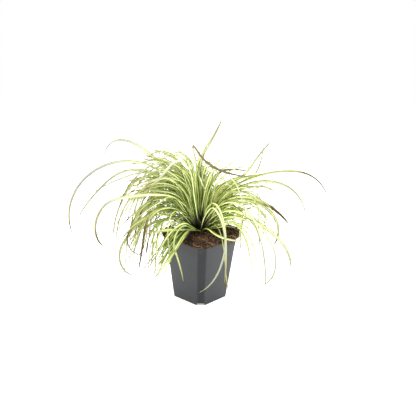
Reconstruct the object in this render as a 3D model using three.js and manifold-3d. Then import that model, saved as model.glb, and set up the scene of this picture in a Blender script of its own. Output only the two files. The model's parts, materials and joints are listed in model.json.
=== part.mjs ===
// A tuft of variegated sedge growing in a square nursery pot.
//
// Units are millimetres and degrees, with +Z up.  The origin is the middle of the pot's underside,
// and the pot's walls lie along X and Y.
//
// The pot and its soil are lofts through rounded square outlines.  The plant is a ring of leafy
// shoots.  Each shoot keeps to its own sector round the pot's axis, so no leaf crosses a leaf of
// another shoot, and stands in a plain hole in the soil.  The leaves that stand out of the tuft
// have sizes of their own, and seeded draws place the rest of the tuft between them.

import * as THREE from 'three';
import { mergeVertices } from 'three/addons/utils/BufferGeometryUtils.js';
import Module from 'manifold-3d';

const wasm = await Module();
wasm.setup();

// ---------------------------------------------------------------- driving dimensions

const POT_HEIGHT = 100;
const RIM_WIDTH = 90;           // over the walls at the top
const BASE_WIDTH = 70;          // over the walls at the ground
const CORNER_CUT = 9.5;         // leg of the flattened corner
const CORNER_SOFTNESS = 2.5;    // how far the rounding reaches from each edge of that corner
const WALL = 1.3;
const FLOOR_BOTTOM = 3.6;       // the floor stands this far above the ground
const NOTCH_HEIGHT = 3.5;       // gap under each corner
const NOTCH_DEPTH = 8;
const PAD_RADIUS = 9;           // round foot under the middle of the floor
const RIB_WIDTH = 2;
const DRAIN_RADIUS = 3.5;
const DRAIN_RING = 21;

const GAP = 0.3;                // between pieces that touch
const SOIL_CROWN = 109.8;       // height of the heaped soil round the shoots
const SOIL_ROUGHNESS = 1.1;
const SOIL_SIDES = 40;

const SHOOTS = 12;
const SECTOR = 360 / SHOOTS;
const SHOOT_TURN = 13;          // heading of the first shoot
const OUTER_RING = 8.5;         // distance of the even shoots from the axis
const INNER_RING = 5;           // distance of the odd shoots
const SHEATH_RADIUS = 1.6;
const SHEATH_BOTTOM = 88;
const SHEATH_TOP = 121;
const ROOT_HEIGHT = 112;        // where a level leaf leaves its sheath
const ROOT_CLIMB = 7;           // an upright leaf leaves it this much higher

const LEAF_CLEARANCE = 0.25;    // from a leaf's edge to the side of its sector
const LEAF_STEPS = 36;          // steps along a leaf's route
const SAG = 0.12;               // degrees that a drawn leaf sinks with each millimetre
const STEEPEST_HANG = -84;
const MIN_THICKNESS = 0.7;
const KEEL_DEPTH = 0.5;         // share of a blade's half width
const MIN_WIDTH = 0.8;
const LONG_LEAF = 270;          // a longer leaf has a station every third step
const MIDDLING_LEAF = 200;      // a longer leaf has one every fourth step, a shorter every sixth

// ---------------------------------------------------------------- leaves

// The leaves that stand out of the tuft.  lean is the heading off the middle of the sector and
// sway how much it turns on the way to the tip.  bend holds the rise above the horizontal at the
// root, at one third, at two thirds and at the tip.
const SHOWING_LEAVES = [
  // the short side, arching over the rim
  { shoot: 0, lean: -2, length: 210, bend: [81, -15, -38, -94], sway: 30, width: 5.5 },
  { shoot: 0, lean: 3, length: 145, bend: [80, 28, -100, -79], sway: 40, width: 4.5 },
  { shoot: 1, lean: -3, length: 197, bend: [80, 17, -37, -129], sway: -28, width: 5.2 },
  { shoot: 1, lean: -10, length: 176, bend: [79, 30, -22, -48], sway: -11, width: 6 },
  { shoot: 1, lean: -5, length: 247, bend: [76, 29, -22, -75], sway: 40, width: 5.2 },
  { shoot: 1, lean: -6, length: 285, bend: [80, 26, -6, -65], sway: 40, width: 5.0 },
  { shoot: 1, lean: 7, length: 160, bend: [84, 34, 8, -40], sway: 16, width: 4.2 },
  { shoot: 2, lean: 14, length: 229, bend: [90, 16, 2, -110], sway: 4, width: 4.5 },
  // the tall ones
  { shoot: 3, lean: -14, length: 255, bend: [72, 12, 34, 14], sway: 13, width: 5.0 },
  { shoot: 3, lean: -14, length: 255, bend: [66, 10, 2, 76], sway: 24, width: 4.6 },
  { shoot: 3, lean: 14, length: 230, bend: [90, 17, 3, 4], sway: -3, width: 4.2 },
  { shoot: 3, lean: 16, length: 180, bend: [88, 54, -4, -14], sway: -40, width: 4.0 },
  { shoot: 4, lean: 20, length: 236, bend: [73, 48, 20, 57], sway: -59, width: 6.2 },
  { shoot: 4, lean: -8, length: 260, bend: [42, 10, -12, -29], sway: -16, width: 4.8 },
  { shoot: 5, lean: -11, length: 220, bend: [86, 51, -1, -4], sway: -8, width: 4.5 },
  { shoot: 5, lean: 4, length: 210, bend: [72, 59, 6, -1], sway: -2, width: 4.5 },
  // the full side, arching far out
  { shoot: 6, lean: 20, length: 290, bend: [66, 51, 7, -58], sway: -46, width: 5.0 },
  { shoot: 6, lean: 5, length: 185, bend: [79, 41, -29, -50], sway: -18, width: 4.8 },
  { shoot: 7, lean: 14, length: 338, bend: [74, 38, -35, -113], sway: 4, width: 4.6 },
  { shoot: 7, lean: -8, length: 230, bend: [84, 71, -29, -72], sway: 40, width: 3.8 },
  { shoot: 7, lean: -13, length: 295, bend: [74, 32, -42, -61], sway: 6, width: 4 },
  { shoot: 7, lean: 2, length: 230, bend: [66, -19, -58, -168], sway: 40, width: 6.2 },
  { shoot: 7, lean: 14, length: 135, bend: [60, -3, -23, -60], sway: 3, width: 5.2 },
  { shoot: 7, lean: -12, length: 195, bend: [86, 84, -13, -59], sway: -5, width: 3.6 },
  { shoot: 7, lean: -14, length: 195, bend: [71, 41, -44, -87], sway: 0, width: 5.0 },
  { shoot: 7, lean: 12, length: 265, bend: [89, 36, -60, -91], sway: 9, width: 3.8 },
  { shoot: 8, lean: 6, length: 282, bend: [77, 12, -2, -158], sway: 18, width: 4.8 },
  { shoot: 8, lean: -14, length: 190, bend: [77, -4, -45, -170], sway: 1, width: 4.2 },
  { shoot: 8, lean: 1, length: 192, bend: [67, 14, -82, -78], sway: 6, width: 5.6 },
  { shoot: 8, lean: 14, length: 105, bend: [45, -40, -58, -46], sway: -30, width: 4.4 },
  { shoot: 8, lean: -1, length: 132, bend: [58, 10, -62, -90], sway: 0, width: 4.6 },
  { shoot: 8, lean: -8, length: 132, bend: [60, 8, -58, -92], sway: 0, width: 3.6 },
  { shoot: 7, lean: 4, length: 178, bend: [71, 36, -60, -112], sway: 0, width: 3.2 },
  { shoot: 7, lean: 6, length: 230, bend: [72, 30, -60, -95], sway: 0, width: 3.6 },
  { shoot: 7, lean: 11, length: 165, bend: [66, 30, -52, -96], sway: 0, width: 4.0 },
  { shoot: 8, lean: -14, length: 175, bend: [68, 34, -50, -92], sway: 0, width: 4.0 },
  // the low ones, hanging over the rim
  { shoot: 8, lean: 15, length: 100, bend: [36, -4, -46, -56], sway: 0, width: 4.6 },
  { shoot: 9, lean: -15, length: 112, bend: [44, -8, -52, -46], sway: 0, width: 4.4 },
  { shoot: 9, lean: -10, length: 126, bend: [38, -18, -48, -38], sway: 0, width: 4.4 },
  { shoot: 9, lean: -1, length: 128, bend: [30, -20, -44, -46], sway: 0, width: 4.4 },
  { shoot: 9, lean: -2, length: 98, bend: [24, -14, -34, -45], sway: 0, width: 4.4 },
  { shoot: 9, lean: 3, length: 225, bend: [30, -20, 0, 16], sway: 25, width: 5.0 },
  { shoot: 9, lean: 13, length: 145, bend: [25, 29, -31, -69], sway: -33, width: 4.8 },
  { shoot: 9, lean: 1, length: 175, bend: [31, -19, 2, 14], sway: 29, width: 4.5 },
  { shoot: 9, lean: 14, length: 170, bend: [21, 26, -115, -101], sway: -38, width: 3.4 },
  { shoot: 9, lean: 1, length: 160, bend: [18, 16, 15, 6], sway: 11, width: 5.5 },
  { shoot: 9, lean: -15, length: 250, bend: [74, 79, -26, -2], sway: 28, width: 5.0 },
  { shoot: 10, lean: 1, length: 290, bend: [41, 32, -104, -144], sway: 43, width: 3 },
  { shoot: 10, lean: 11, length: 200, bend: [32, 4, 12, 18], sway: 9, width: 4.5 },
  { shoot: 11, lean: -13, length: 235, bend: [82, 11, -78, -104], sway: 1, width: 3.6 },
  { shoot: 11, lean: 14, length: 246, bend: [72, 16, -59, -92], sway: -15, width: 6.2 },
  { shoot: 11, lean: 16, length: 255, bend: [60, 6, -48, -161], sway: -11, width: 5.0 },
  { shoot: 11, lean: 14, length: 135, bend: [45, 27, 11, 0], sway: -22, width: 5.0 },
  { shoot: 11, lean: 14, length: 135, bend: [33, 23, 7, -4], sway: -21, width: 5.0 },
];

const TUFT_SEED = 20276;

// How many more leaves each shoot has, and their mean length.
const TUFT = [
  { count: 7, mean: 130 }, { count: 8, mean: 135 }, { count: 8, mean: 125 },
  { count: 8, mean: 130 }, { count: 10, mean: 150 }, { count: 12, mean: 190 },
  { count: 12, mean: 195 }, { count: 8, mean: 195 }, { count: 5, mean: 160 },
  { count: 0, mean: 0 }, { count: 0, mean: 0 }, { count: 0, mean: 0 },
];

// ---------------------------------------------------------------- small helpers

const radians = THREE.MathUtils.degToRad;
const mix = THREE.MathUtils.lerp;

function makeDraw(seed) {
  // Park and Miller's generator, so that every build draws the same tuft.
  let state = seed;
  return (low, high) => {
    state = (state * 16807) % 2147483647;
    return mix(low, high, state / 2147483647);
  };
}

function solid(geometry) {
  const bare = geometry.clone();
  bare.deleteAttribute('normal');
  bare.deleteAttribute('uv');
  const merged = mergeVertices(bare, 1e-4);
  const vertProperties = new Float32Array(merged.attributes.position.array);
  const triVerts = new Uint32Array(merged.index.array);
  return new wasm.Manifold(new wasm.Mesh({ numProp: 3, vertProperties, triVerts }));
}

function toGeometry(manifold) {
  const mesh = manifold.getMesh();
  const geometry = new THREE.BufferGeometry();
  const position = new Float32Array(mesh.numVert * 3);
  for (let i = 0; i < mesh.numVert; i += 1) {
    for (let axis = 0; axis < 3; axis += 1) {
      position[i * 3 + axis] = mesh.vertProperties[i * mesh.numProp + axis];
    }
  }
  geometry.setAttribute('position', new THREE.BufferAttribute(position, 3));
  geometry.setIndex([...mesh.triVerts]);
  return geometry;
}

function outerBody(manifold) {
  // Where leaves crowd together a union can seal a pocket or leave a scrap: only the body is kept.
  return manifold.decompose().reduce((a, b) => (b.volume() > a.volume() ? b : a));
}

function loft(rings) {
  // Closed body through rings of equally many points, first ring lowest, each seen from above
  // running anticlockwise.  Each end is closed by a fan round the middle of its ring.
  const sides = rings[0].length;
  const points = rings.flat();
  const index = [];
  for (let r = 0; r + 1 < rings.length; r += 1) {
    for (let i = 0; i < sides; i += 1) {
      const a = r * sides + i;
      const b = r * sides + ((i + 1) % sides);
      index.push(a, b, b + sides, a, b + sides, a + sides);
    }
  }
  const ends = [[0, 1], [(rings.length - 1) * sides, -1]];
  for (const [first, facing] of ends) {
    const ring = points.slice(first, first + sides);
    const middle = ring.reduce((sum, p) => sum.add(p), new THREE.Vector3()).divideScalar(sides);
    const hub = points.push(middle) - 1;
    for (let i = 0; i < sides; i += 1) {
      const a = first + i;
      const b = first + ((i + 1) % sides);
      index.push(...(facing > 0 ? [hub, b, a] : [hub, a, b]));
    }
  }
  const geometry = new THREE.BufferGeometry().setFromPoints(points);
  geometry.setIndex(index);
  return geometry;
}

function upright(geometry, x, y, z) {
  // A three.js cylinder runs along Y: stand it up with its middle at the given point.
  return geometry.rotateX(Math.PI / 2).translate(x, y, z);
}

// ---------------------------------------------------------------- pot

function widthAt(z) {
  return mix(BASE_WIDTH, RIM_WIDTH, z / POT_HEIGHT);
}

function potOutline(width, z, inset = 0) {
  // Square with flattened corners, and each edge of a corner rounded over three points.
  const half = width / 2 - inset;
  const cut = CORNER_CUT - inset * (2 - Math.SQRT2);
  const soft = CORNER_SOFTNESS;
  const slope = soft * Math.SQRT1_2;
  const corner = [
    [half, half - cut - soft],
    [half - slope * 0.22, half - cut - slope * 0.22],
    [half - slope, half - cut + slope],
    [half - cut + slope, half - slope],
    [half - cut - slope * 0.22, half - slope * 0.22],
    [half - cut - soft, half],
  ];
  const ring = [];
  for (let quarter = 0; quarter < 4; quarter += 1) {
    const turn = quarter * Math.PI / 2;
    for (const [x, y] of corner) {
      const px = x * Math.cos(turn) - y * Math.sin(turn);
      const py = x * Math.sin(turn) + y * Math.cos(turn);
      ring.push(new THREE.Vector3(px, py, z));
    }
  }
  return ring;
}

function makePot() {
  const floorTop = FLOOR_BOTTOM + WALL;
  const above = POT_HEIGHT + 1;
  const below = -1;
  let pot = solid(loft([potOutline(BASE_WIDTH, 0), potOutline(RIM_WIDTH, POT_HEIGHT)]));
  const inside = loft([
    potOutline(widthAt(floorTop), floorTop, WALL),
    potOutline(widthAt(above), above, WALL),
  ]);
  const underside = loft([
    potOutline(widthAt(below), below, WALL),
    potOutline(widthAt(FLOOR_BOTTOM), FLOOR_BOTTOM, WALL),
  ]);
  let hollow = solid(underside);

  // A cross of ribs and a round foot stay under the floor.
  const footHeight = FLOOR_BOTTOM + 2;
  const foot = upright(new THREE.CylinderGeometry(PAD_RADIUS, PAD_RADIUS, footHeight, 16),
    0, 0, footHeight / 2);
  hollow = hollow.subtract(solid(foot));
  for (const turn of [0, Math.PI / 2]) {
    const rib = new THREE.BoxGeometry(BASE_WIDTH + 2, RIB_WIDTH, footHeight);
    rib.rotateZ(turn).translate(0, 0, 0.8 + footHeight / 2);
    hollow = hollow.subtract(solid(rib));
  }
  pot = pot.subtract(solid(inside)).subtract(hollow);

  for (let quarter = 0; quarter < 4; quarter += 1) {
    const heading = radians(45 + 90 * quarter);
    const corner = (BASE_WIDTH - CORNER_CUT) / Math.SQRT2;
    const notch = new THREE.BoxGeometry(2 * NOTCH_DEPTH, CORNER_CUT * 1.25, 2 * NOTCH_HEIGHT);
    notch.translate(corner, 0, 0).rotateZ(heading);
    pot = pot.subtract(solid(notch));
    const x = DRAIN_RING * Math.cos(heading);
    const y = DRAIN_RING * Math.sin(heading);
    const drain = new THREE.CylinderGeometry(DRAIN_RADIUS, DRAIN_RADIUS, 3 * WALL, 12);
    pot = pot.subtract(solid(upright(drain, x, y, FLOOR_BOTTOM + WALL / 2)));
  }
  return toGeometry(outerBody(pot));
}

// ---------------------------------------------------------------- soil

function squareReach(half, cut, angle) {
  // Distance from the axis to the side of a square with flattened corners.
  const c = Math.abs(Math.cos(angle));
  const s = Math.abs(Math.sin(angle));
  return Math.min(half / Math.max(c, s), (2 * half - cut) / (c + s));
}

function lump(angle, heading, spread) {
  const away = Math.atan2(Math.sin(angle - radians(heading)), Math.cos(angle - radians(heading)));
  return Math.exp(-((away / radians(spread)) ** 2));
}

function clod(angle) {
  // The root ball stands up and out over the rim at the two side corners, more at one of them.
  return lump(angle, 60, 34) + 0.8 * lump(angle, 218, 26);
}

function soilRing(angleToPoint) {
  const ring = [];
  for (let i = 0; i < SOIL_SIDES; i += 1) {
    const angle = (i / SOIL_SIDES) * 2 * Math.PI;
    const [reach, z] = angleToPoint(angle);
    ring.push(new THREE.Vector3(reach * Math.cos(angle), reach * Math.sin(angle), z));
  }
  return ring;
}

function makeSoil() {
  const draw = makeDraw(7);
  const bottom = FLOOR_BOTTOM + WALL + GAP;
  const rim = POT_HEIGHT + GAP;
  const inner = (z) => (angle) => {
    const inset = WALL + GAP * 1.2;
    const half = widthAt(z) / 2 - inset;
    return [squareReach(half, CORNER_CUT - inset * (2 - Math.SQRT2) + 0.6, angle), z];
  };
  const edge = (angle) => squareReach(RIM_WIDTH / 2 - 0.4, CORNER_CUT, angle);
  const rough = () => draw(-SOIL_ROUGHNESS, SOIL_ROUGHNESS);
  const rings = [
    soilRing(inner(bottom)),
    soilRing(inner(rim)),
    soilRing((angle) => [edge(angle) + 5 * clod(angle), rim + 3.5 * clod(angle)]),
    soilRing((angle) => {
      const reach = edge(angle) - 0.6 + 7.5 * clod(angle) + 0.6 * rough();
      return [reach, rim + 2 + 7 * clod(angle) + 0.5 * rough()];
    }),
  ];
  for (const share of [0.92, 0.8, 0.66, 0.52, 0.38]) {
    const heap = Math.cos((share * Math.PI) / 2) ** 0.8;
    rings.push(soilRing((angle) => {
      const rise = (SOIL_CROWN - rim - 3.5) * heap + 3.5 + 12 * clod(angle) * share ** 3;
      return [share * (edge(angle) + 6 * clod(angle)) + rough(), rim + rise + rough()];
    }));
  }
  rings.push(soilRing(() => [9, SOIL_CROWN]));
  let soil = solid(loft(rings));

  const depth = SOIL_CROWN + 10 - (SHEATH_BOTTOM - GAP);
  for (let shoot = 0; shoot < SHOOTS; shoot += 1) {
    const { x, y } = shootPlace(shoot);
    const radius = (SHEATH_RADIUS + GAP) / Math.cos(Math.PI / 12);
    const hole = new THREE.CylinderGeometry(radius, radius, depth, 12);
    soil = soil.subtract(solid(upright(hole, x, y, SHEATH_BOTTOM - GAP + depth / 2)));
  }
  return toGeometry(outerBody(soil));
}

// ---------------------------------------------------------------- shoots

function shootPlace(shoot) {
  const heading = radians(SHOOT_TURN + SECTOR * shoot);
  const ring = shoot % 2 ? INNER_RING : OUTER_RING;
  return { heading, ring, x: ring * Math.cos(heading), y: ring * Math.sin(heading) };
}

function leafWidth(share, width) {
  // Folded and narrow at the root, full near the middle, then drawn out to a fine tip.
  const opening = 0.42 + 0.58 * Math.sin((Math.min(share / 0.42, 1) * Math.PI) / 2);
  return Math.max(width * opening * (1 - share ** 6) ** 0.65, MIN_WIDTH);
}

function leafBend(share, bend) {
  const third = Math.min(Math.floor(share * 3), 2);
  return mix(bend[third], bend[third + 1], share * 3 - third);
}

function leafRoute(leaf) {
  // Walks along the leaf in short steps.  along and across are measured from the pot's axis in
  // the shoot's own direction, and across stays inside the shoot's sector.
  const { heading, ring } = shootPlace(leaf.shoot);
  const side = radians(SECTOR / 2);
  const step = leaf.length / LEAF_STEPS;
  const stations = [];
  let along = ring;
  let across = 0;
  let z = ROOT_HEIGHT + ROOT_CLIMB * (leaf.bend[0] / 90) ** 2;
  for (let n = 0; n <= LEAF_STEPS; n += 1) {
    const share = n / LEAF_STEPS;
    const half = leafWidth(share, leaf.width) / 2;
    const free = along * Math.tan(side) - (half + LEAF_CLEARANCE) / Math.cos(side);
    const limit = Math.max(0, free);
    across = THREE.MathUtils.clamp(across, -limit, limit);
    const x = along * Math.cos(heading) - across * Math.sin(heading);
    const y = along * Math.sin(heading) + across * Math.cos(heading);
    stations.push(new THREE.Vector3(x, y, z));
    const next = (n + 0.5) / LEAF_STEPS;
    const rise = radians(leafBend(Math.min(next, 1), leaf.bend));
    const turn = radians(leaf.lean + leaf.sway * next);
    along += Math.cos(rise) * Math.cos(turn) * step;
    across += Math.cos(rise) * Math.sin(turn) * step;
    z += Math.sin(rise) * step;
  }
  return stations;
}

function bladeGeometry(leaf) {
  // A blade is flat on top and keeled below: three points at each station.  Near the axis it is
  // folded narrower, to stay inside its sector.
  const { heading } = shootPlace(leaf.shoot);
  const outward = new THREE.Vector3(Math.cos(heading), Math.sin(heading), 0);
  const route = leafRoute(leaf);
  const stride = leaf.length > LONG_LEAF ? 3 : leaf.length > MIDDLING_LEAF ? 4 : 6;
  const rings = [];
  for (let n = 0; n <= LEAF_STEPS; n += stride) {
    const share = n / LEAF_STEPS;
    const room = route[n].dot(outward) * Math.sin(radians(SECTOR / 2)) - LEAF_CLEARANCE;
    const half = Math.min(leafWidth(share, leaf.width) / 2, room);
    const rise = radians(leafBend(share, leaf.bend));
    const turn = heading + radians(leaf.lean + leaf.sway * share);
    const sideways = new THREE.Vector3(-Math.sin(turn), Math.cos(turn), 0);
    const tangent = new THREE.Vector3(
      Math.cos(rise) * Math.cos(turn), Math.cos(rise) * Math.sin(turn), Math.sin(rise));
    const up = tangent.clone().cross(sideways);
    const thickness = Math.max(MIN_THICKNESS, KEEL_DEPTH * half);
    const place = (across, high) => route[n].clone()
      .addScaledVector(sideways, across)
      .addScaledVector(up, high);
    rings.push([
      place(-half, thickness / 2),
      place(0, -thickness / 2),
      place(half, thickness / 2),
    ]);
  }
  return bladeSkin(rings);
}

function bladeSkin(rings) {
  const points = rings.flat();
  const index = [];
  for (let r = 0; r + 1 < rings.length; r += 1) {
    for (let i = 0; i < 3; i += 1) {
      const a = r * 3 + i;
      const b = r * 3 + ((i + 1) % 3);
      index.push(a, b, b + 3, a, b + 3, a + 3);
    }
  }
  const last = (rings.length - 1) * 3;
  index.push(0, 2, 1, last, last + 1, last + 2);
  const geometry = new THREE.BufferGeometry().setFromPoints(points);
  geometry.setIndex(index);
  return geometry;
}

function arch(rise, length, fall, near, far) {
  // The rise at a leaf's four stations: stiff near the root, then falling over and hanging.
  return [0, 1, 2, 3].map((third) => {
    const distance = (length * third) / 3;
    const droop = fall * THREE.MathUtils.smoothstep(distance, near, far) + SAG * distance;
    return Math.max(rise - droop, STEEPEST_HANG);
  });
}

function drawTuft() {
  // Odd shoots stand nearer the middle and are steeper.  A shoot's steepest leaves are its shortest.
  const draw = makeDraw(TUFT_SEED);
  const leaves = [];
  TUFT.forEach(({ count, mean }, shoot) => {
    const [steepest, flattest] = shoot % 2 ? [88, 54] : [80, 28];
    for (let n = 0; n < count; n += 1) {
      const place = (n + draw(0.2, 0.8)) / count;
      const rise = mix(steepest, flattest, place);
      const length = mean * draw(0.75, 1.25) * (0.84 + 0.2 * place);
      const fall = draw(60, 135);
      const near = draw(15, 65);
      const bend = arch(rise, length, fall, near, near + draw(80, 125));
      const lean = draw(-13, 13);
      const sway = draw(-24, 24);
      const width = draw(3.0, 4.6);
      leaves.push({ shoot, lean, length, bend, sway, width });
    }
  });
  return leaves;
}

function makeShoot(shoot, leaves) {
  const { x, y } = shootPlace(shoot);
  const height = SHEATH_TOP - SHEATH_BOTTOM;
  const sheath = new THREE.CylinderGeometry(SHEATH_RADIUS * 0.7, SHEATH_RADIUS, height, 8);
  let body = solid(upright(sheath, x, y, SHEATH_BOTTOM + height / 2));
  for (const leaf of leaves) {
    body = body.add(solid(bladeGeometry(leaf)));
  }
  return toGeometry(outerBody(body));
}

// ---------------------------------------------------------------- assembly

const potPlastic = new THREE.MeshStandardMaterial({ color: 0x5e6064, roughness: 0.45 });
const pottingSoil = new THREE.MeshStandardMaterial({ color: 0x3d271b, roughness: 1 });
const leafGreen = new THREE.MeshStandardMaterial({ color: 0xb4c46a, roughness: 0.5 });

const plant = new THREE.Group();

function addPiece(name, geometry, material) {
  const mesh = new THREE.Mesh(geometry, material);
  mesh.name = name;
  plant.add(mesh);
}

addPiece('pot', makePot(), potPlastic);
addPiece('soil', makeSoil(), pottingSoil);

const allLeaves = [...SHOWING_LEAVES, ...drawTuft()];
for (let shoot = 0; shoot < SHOOTS; shoot += 1) {
  const leaves = allLeaves.filter((leaf) => leaf.shoot === shoot);
  const name = `shoot_${String(shoot + 1).padStart(2, '0')}`;
  addPiece(name, makeShoot(shoot, leaves), leafGreen);
}

export default plant;
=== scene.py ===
"""Looks of the potted variegated sedge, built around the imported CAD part.

Lengths are millimetres and angles are degrees until a mesh is made, which is in metres.  The CAD
part's leaves are drawn again on nearly the same routes, each within its shoot's sector round the
pot's axis, as thinner blades with a channel and a twist, and many of them narrower.  Leaves that
aren't bound to those sectors, papery scales, crumbs and coir threads are added.
"""

import json
import math
import random

import bmesh
import bpy
import numpy as np
from mathutils import Matrix, Vector, noise
from mathutils.bvhtree import BVHTree

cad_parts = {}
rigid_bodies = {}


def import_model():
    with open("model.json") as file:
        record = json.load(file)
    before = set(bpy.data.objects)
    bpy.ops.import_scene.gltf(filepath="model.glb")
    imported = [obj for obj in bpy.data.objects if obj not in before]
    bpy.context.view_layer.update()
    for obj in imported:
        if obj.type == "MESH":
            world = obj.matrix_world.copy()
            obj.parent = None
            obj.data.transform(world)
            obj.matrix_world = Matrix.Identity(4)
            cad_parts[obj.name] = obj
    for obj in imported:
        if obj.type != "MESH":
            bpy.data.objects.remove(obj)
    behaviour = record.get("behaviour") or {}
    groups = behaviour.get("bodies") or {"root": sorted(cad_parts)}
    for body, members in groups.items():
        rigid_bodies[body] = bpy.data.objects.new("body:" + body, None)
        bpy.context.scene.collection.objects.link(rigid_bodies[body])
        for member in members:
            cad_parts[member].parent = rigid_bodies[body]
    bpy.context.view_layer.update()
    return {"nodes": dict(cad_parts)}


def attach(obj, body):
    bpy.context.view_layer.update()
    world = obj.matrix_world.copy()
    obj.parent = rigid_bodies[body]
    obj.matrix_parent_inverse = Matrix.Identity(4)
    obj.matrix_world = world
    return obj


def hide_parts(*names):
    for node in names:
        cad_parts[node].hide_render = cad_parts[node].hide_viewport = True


MM = 0.001
FULL_TURN = 6.28    # radians that a random turn or phase may reach

# ---------------------------------------------------------------- sizes shared with the CAD part

POT_HEIGHT = 100
RIM_WIDTH = 90
BASE_WIDTH = 70
CORNER_CUT = 9.5    # leg of the flattened corner
WALL = 1.3
GAP = 0.3           # between the soil and the pot

SOIL_CROWN = 109.8                                 # height of the heap round the shoots
CLOD_HEADINGS = ((60, 34, 1.0), (218, 26, 0.8))    # heading, spread and size of each overhang

SHOOTS = 12
SECTOR = 360 / SHOOTS
SHOOT_TURN = 13     # heading of the first shoot
OUTER_RING = 8.5    # distance of the even shoots from the axis
INNER_RING = 5      # distance of the odd shoots
SHEATH_RADIUS = 1.6
ROOT_HEIGHT = 112   # where a level leaf leaves its sheath
ROOT_CLIMB = 7      # an upright leaf leaves it this much higher
LEAF_CLEARANCE = 0.25
LEAF_STEPS = 36
MIN_WIDTH = 0.8     # the solid blades' tips, which set how close a route comes to the sector's side
SAG = 0.12          # degrees that a drawn leaf sinks with each millimetre
STEEPEST_HANG = -84

# How many leaves of each shoot are drawn, and their mean length.
TUFT = (
    (7, 130), (8, 135), (8, 125), (8, 130), (10, 150), (12, 190),
    (12, 195), (8, 195), (5, 160), (0, 0), (0, 0), (0, 0),
)
TUFT_SEED = 20276

# Each row is one leaf: shoot, lean off the middle of the sector, length, rise at the root, at one
# and two thirds and at the tip, sway on the way to the tip, width, and how much of it is withered.
SHOWING_LEAVES = (
    # the short side, arching over the rim
    (0, -2, 210, (81, -15, -38, -94), 30, 5.5, 0.06),
    (0, 3, 145, (80, 28, -100, -79), 40, 4.5, 0.10),
    (1, -3, 197, (80, 17, -37, -129), -28, 5.2, 0.12),
    (1, -10, 176, (79, 30, -22, -48), -11, 6.0, 0.32),
    (1, -5, 247, (76, 29, -22, -75), 40, 5.2, 0.08),
    (1, -6, 285, (80, 26, -6, -65), 40, 5.0, 0.33),
    (1, 7, 160, (84, 34, 8, -40), 16, 4.2, 0.05),
    (2, 14, 229, (90, 16, 2, -110), 4, 4.5, 0.10),
    # the tall ones
    (3, -14, 255, (72, 12, 34, 14), 13, 5.0, 0.06),
    (3, -14, 255, (66, 10, 2, 76), 24, 4.6, 0.08),
    (3, 14, 230, (90, 17, 3, 4), -3, 4.2, 0.06),
    (3, 16, 180, (88, 54, -4, -14), -40, 4.0, 0.50),
    (4, 20, 236, (73, 48, 20, 57), -59, 6.2, 0.10),
    (4, -8, 260, (42, 10, -12, -29), -16, 4.8, 0.10),
    (5, -11, 220, (86, 51, -1, -4), -8, 4.5, 0.10),
    (5, 4, 210, (72, 59, 6, -1), -2, 4.5, 0.08),
    # the full side, arching far out
    (6, 20, 290, (66, 51, 7, -58), -46, 5.0, 0.15),
    (6, 5, 185, (79, 41, -29, -50), -18, 4.8, 0.10),
    (7, 14, 338, (74, 38, -35, -113), 4, 4.6, 0.12),
    (7, -8, 230, (84, 71, -29, -72), 40, 3.8, 0.12),
    (7, -13, 295, (74, 32, -42, -61), 6, 4.0, 0.12),
    (7, 2, 230, (66, -19, -58, -168), 40, 6.2, 0.08),
    (7, 14, 135, (60, -3, -23, -60), 3, 5.2, 0.05),
    (7, -12, 195, (86, 84, -13, -59), -5, 3.6, 0.15),
    (7, -14, 195, (71, 41, -44, -87), 0, 5.0, 0.10),
    (7, 12, 265, (89, 36, -60, -91), 9, 3.8, 0.14),
    (8, 6, 282, (77, 12, -2, -158), 18, 4.8, 0.16),
    (8, -14, 190, (77, -4, -45, -170), 1, 4.2, 0.36),
    (8, 1, 192, (67, 14, -82, -78), 6, 5.6, 0.46),
    (8, 14, 105, (45, -40, -58, -46), -30, 4.4, 0.05),
    (8, -1, 132, (58, 10, -62, -90), 0, 4.6, 0.12),
    (8, -8, 132, (60, 8, -58, -92), 0, 3.6, 0.22),
    (7, 4, 178, (71, 36, -60, -112), 0, 3.2, 0.32),
    (7, 6, 230, (72, 30, -60, -95), 0, 3.6, 0.08),
    (7, 11, 165, (66, 30, -52, -96), 0, 4.0, 0.20),
    (8, -14, 175, (68, 34, -50, -92), 0, 4.0, 0.12),
    # the low ones, hanging over the rim
    (8, 15, 100, (36, -4, -46, -56), 0, 4.6, 0.02),
    (9, -15, 112, (44, -8, -52, -46), 0, 4.4, 0.03),
    (9, -10, 126, (38, -18, -48, -38), 0, 4.4, 0.04),
    (9, -1, 128, (30, -20, -44, -46), 0, 4.4, 0.04),
    (9, -2, 98, (24, -14, -34, -45), 0, 4.4, 0.03),
    (9, 3, 225, (30, -20, 0, 16), 25, 5.0, 0.05),
    (9, 13, 145, (25, 29, -31, -69), -33, 4.8, 0.05),
    (9, 1, 175, (31, -19, 2, 14), 29, 4.5, 0.05),
    (9, 14, 170, (21, 26, -115, -101), -38, 3.4, 0.02),
    (9, 1, 160, (18, 16, 15, 6), 11, 5.5, 0.04),
    (9, -15, 250, (74, 79, -26, -2), 28, 5.0, 0.12),
    (10, 1, 290, (41, 32, -104, -144), 43, 3.0, 0.0),
    (10, 11, 200, (32, 4, 12, 18), 9, 4.5, 0.04),
    (11, -13, 235, (82, 11, -78, -104), 1, 3.6, 0.12),
    (11, 14, 246, (72, 16, -59, -92), -15, 6.2, 0.10),
    (11, 16, 255, (60, 6, -48, -161), -11, 5.0, 0.08),
    (11, 14, 135, (45, 27, 11, 0), -22, 5.0, 0.06),
    (11, 14, 135, (33, 23, 7, -4), -21, 5.0, 0.06),
)

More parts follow.
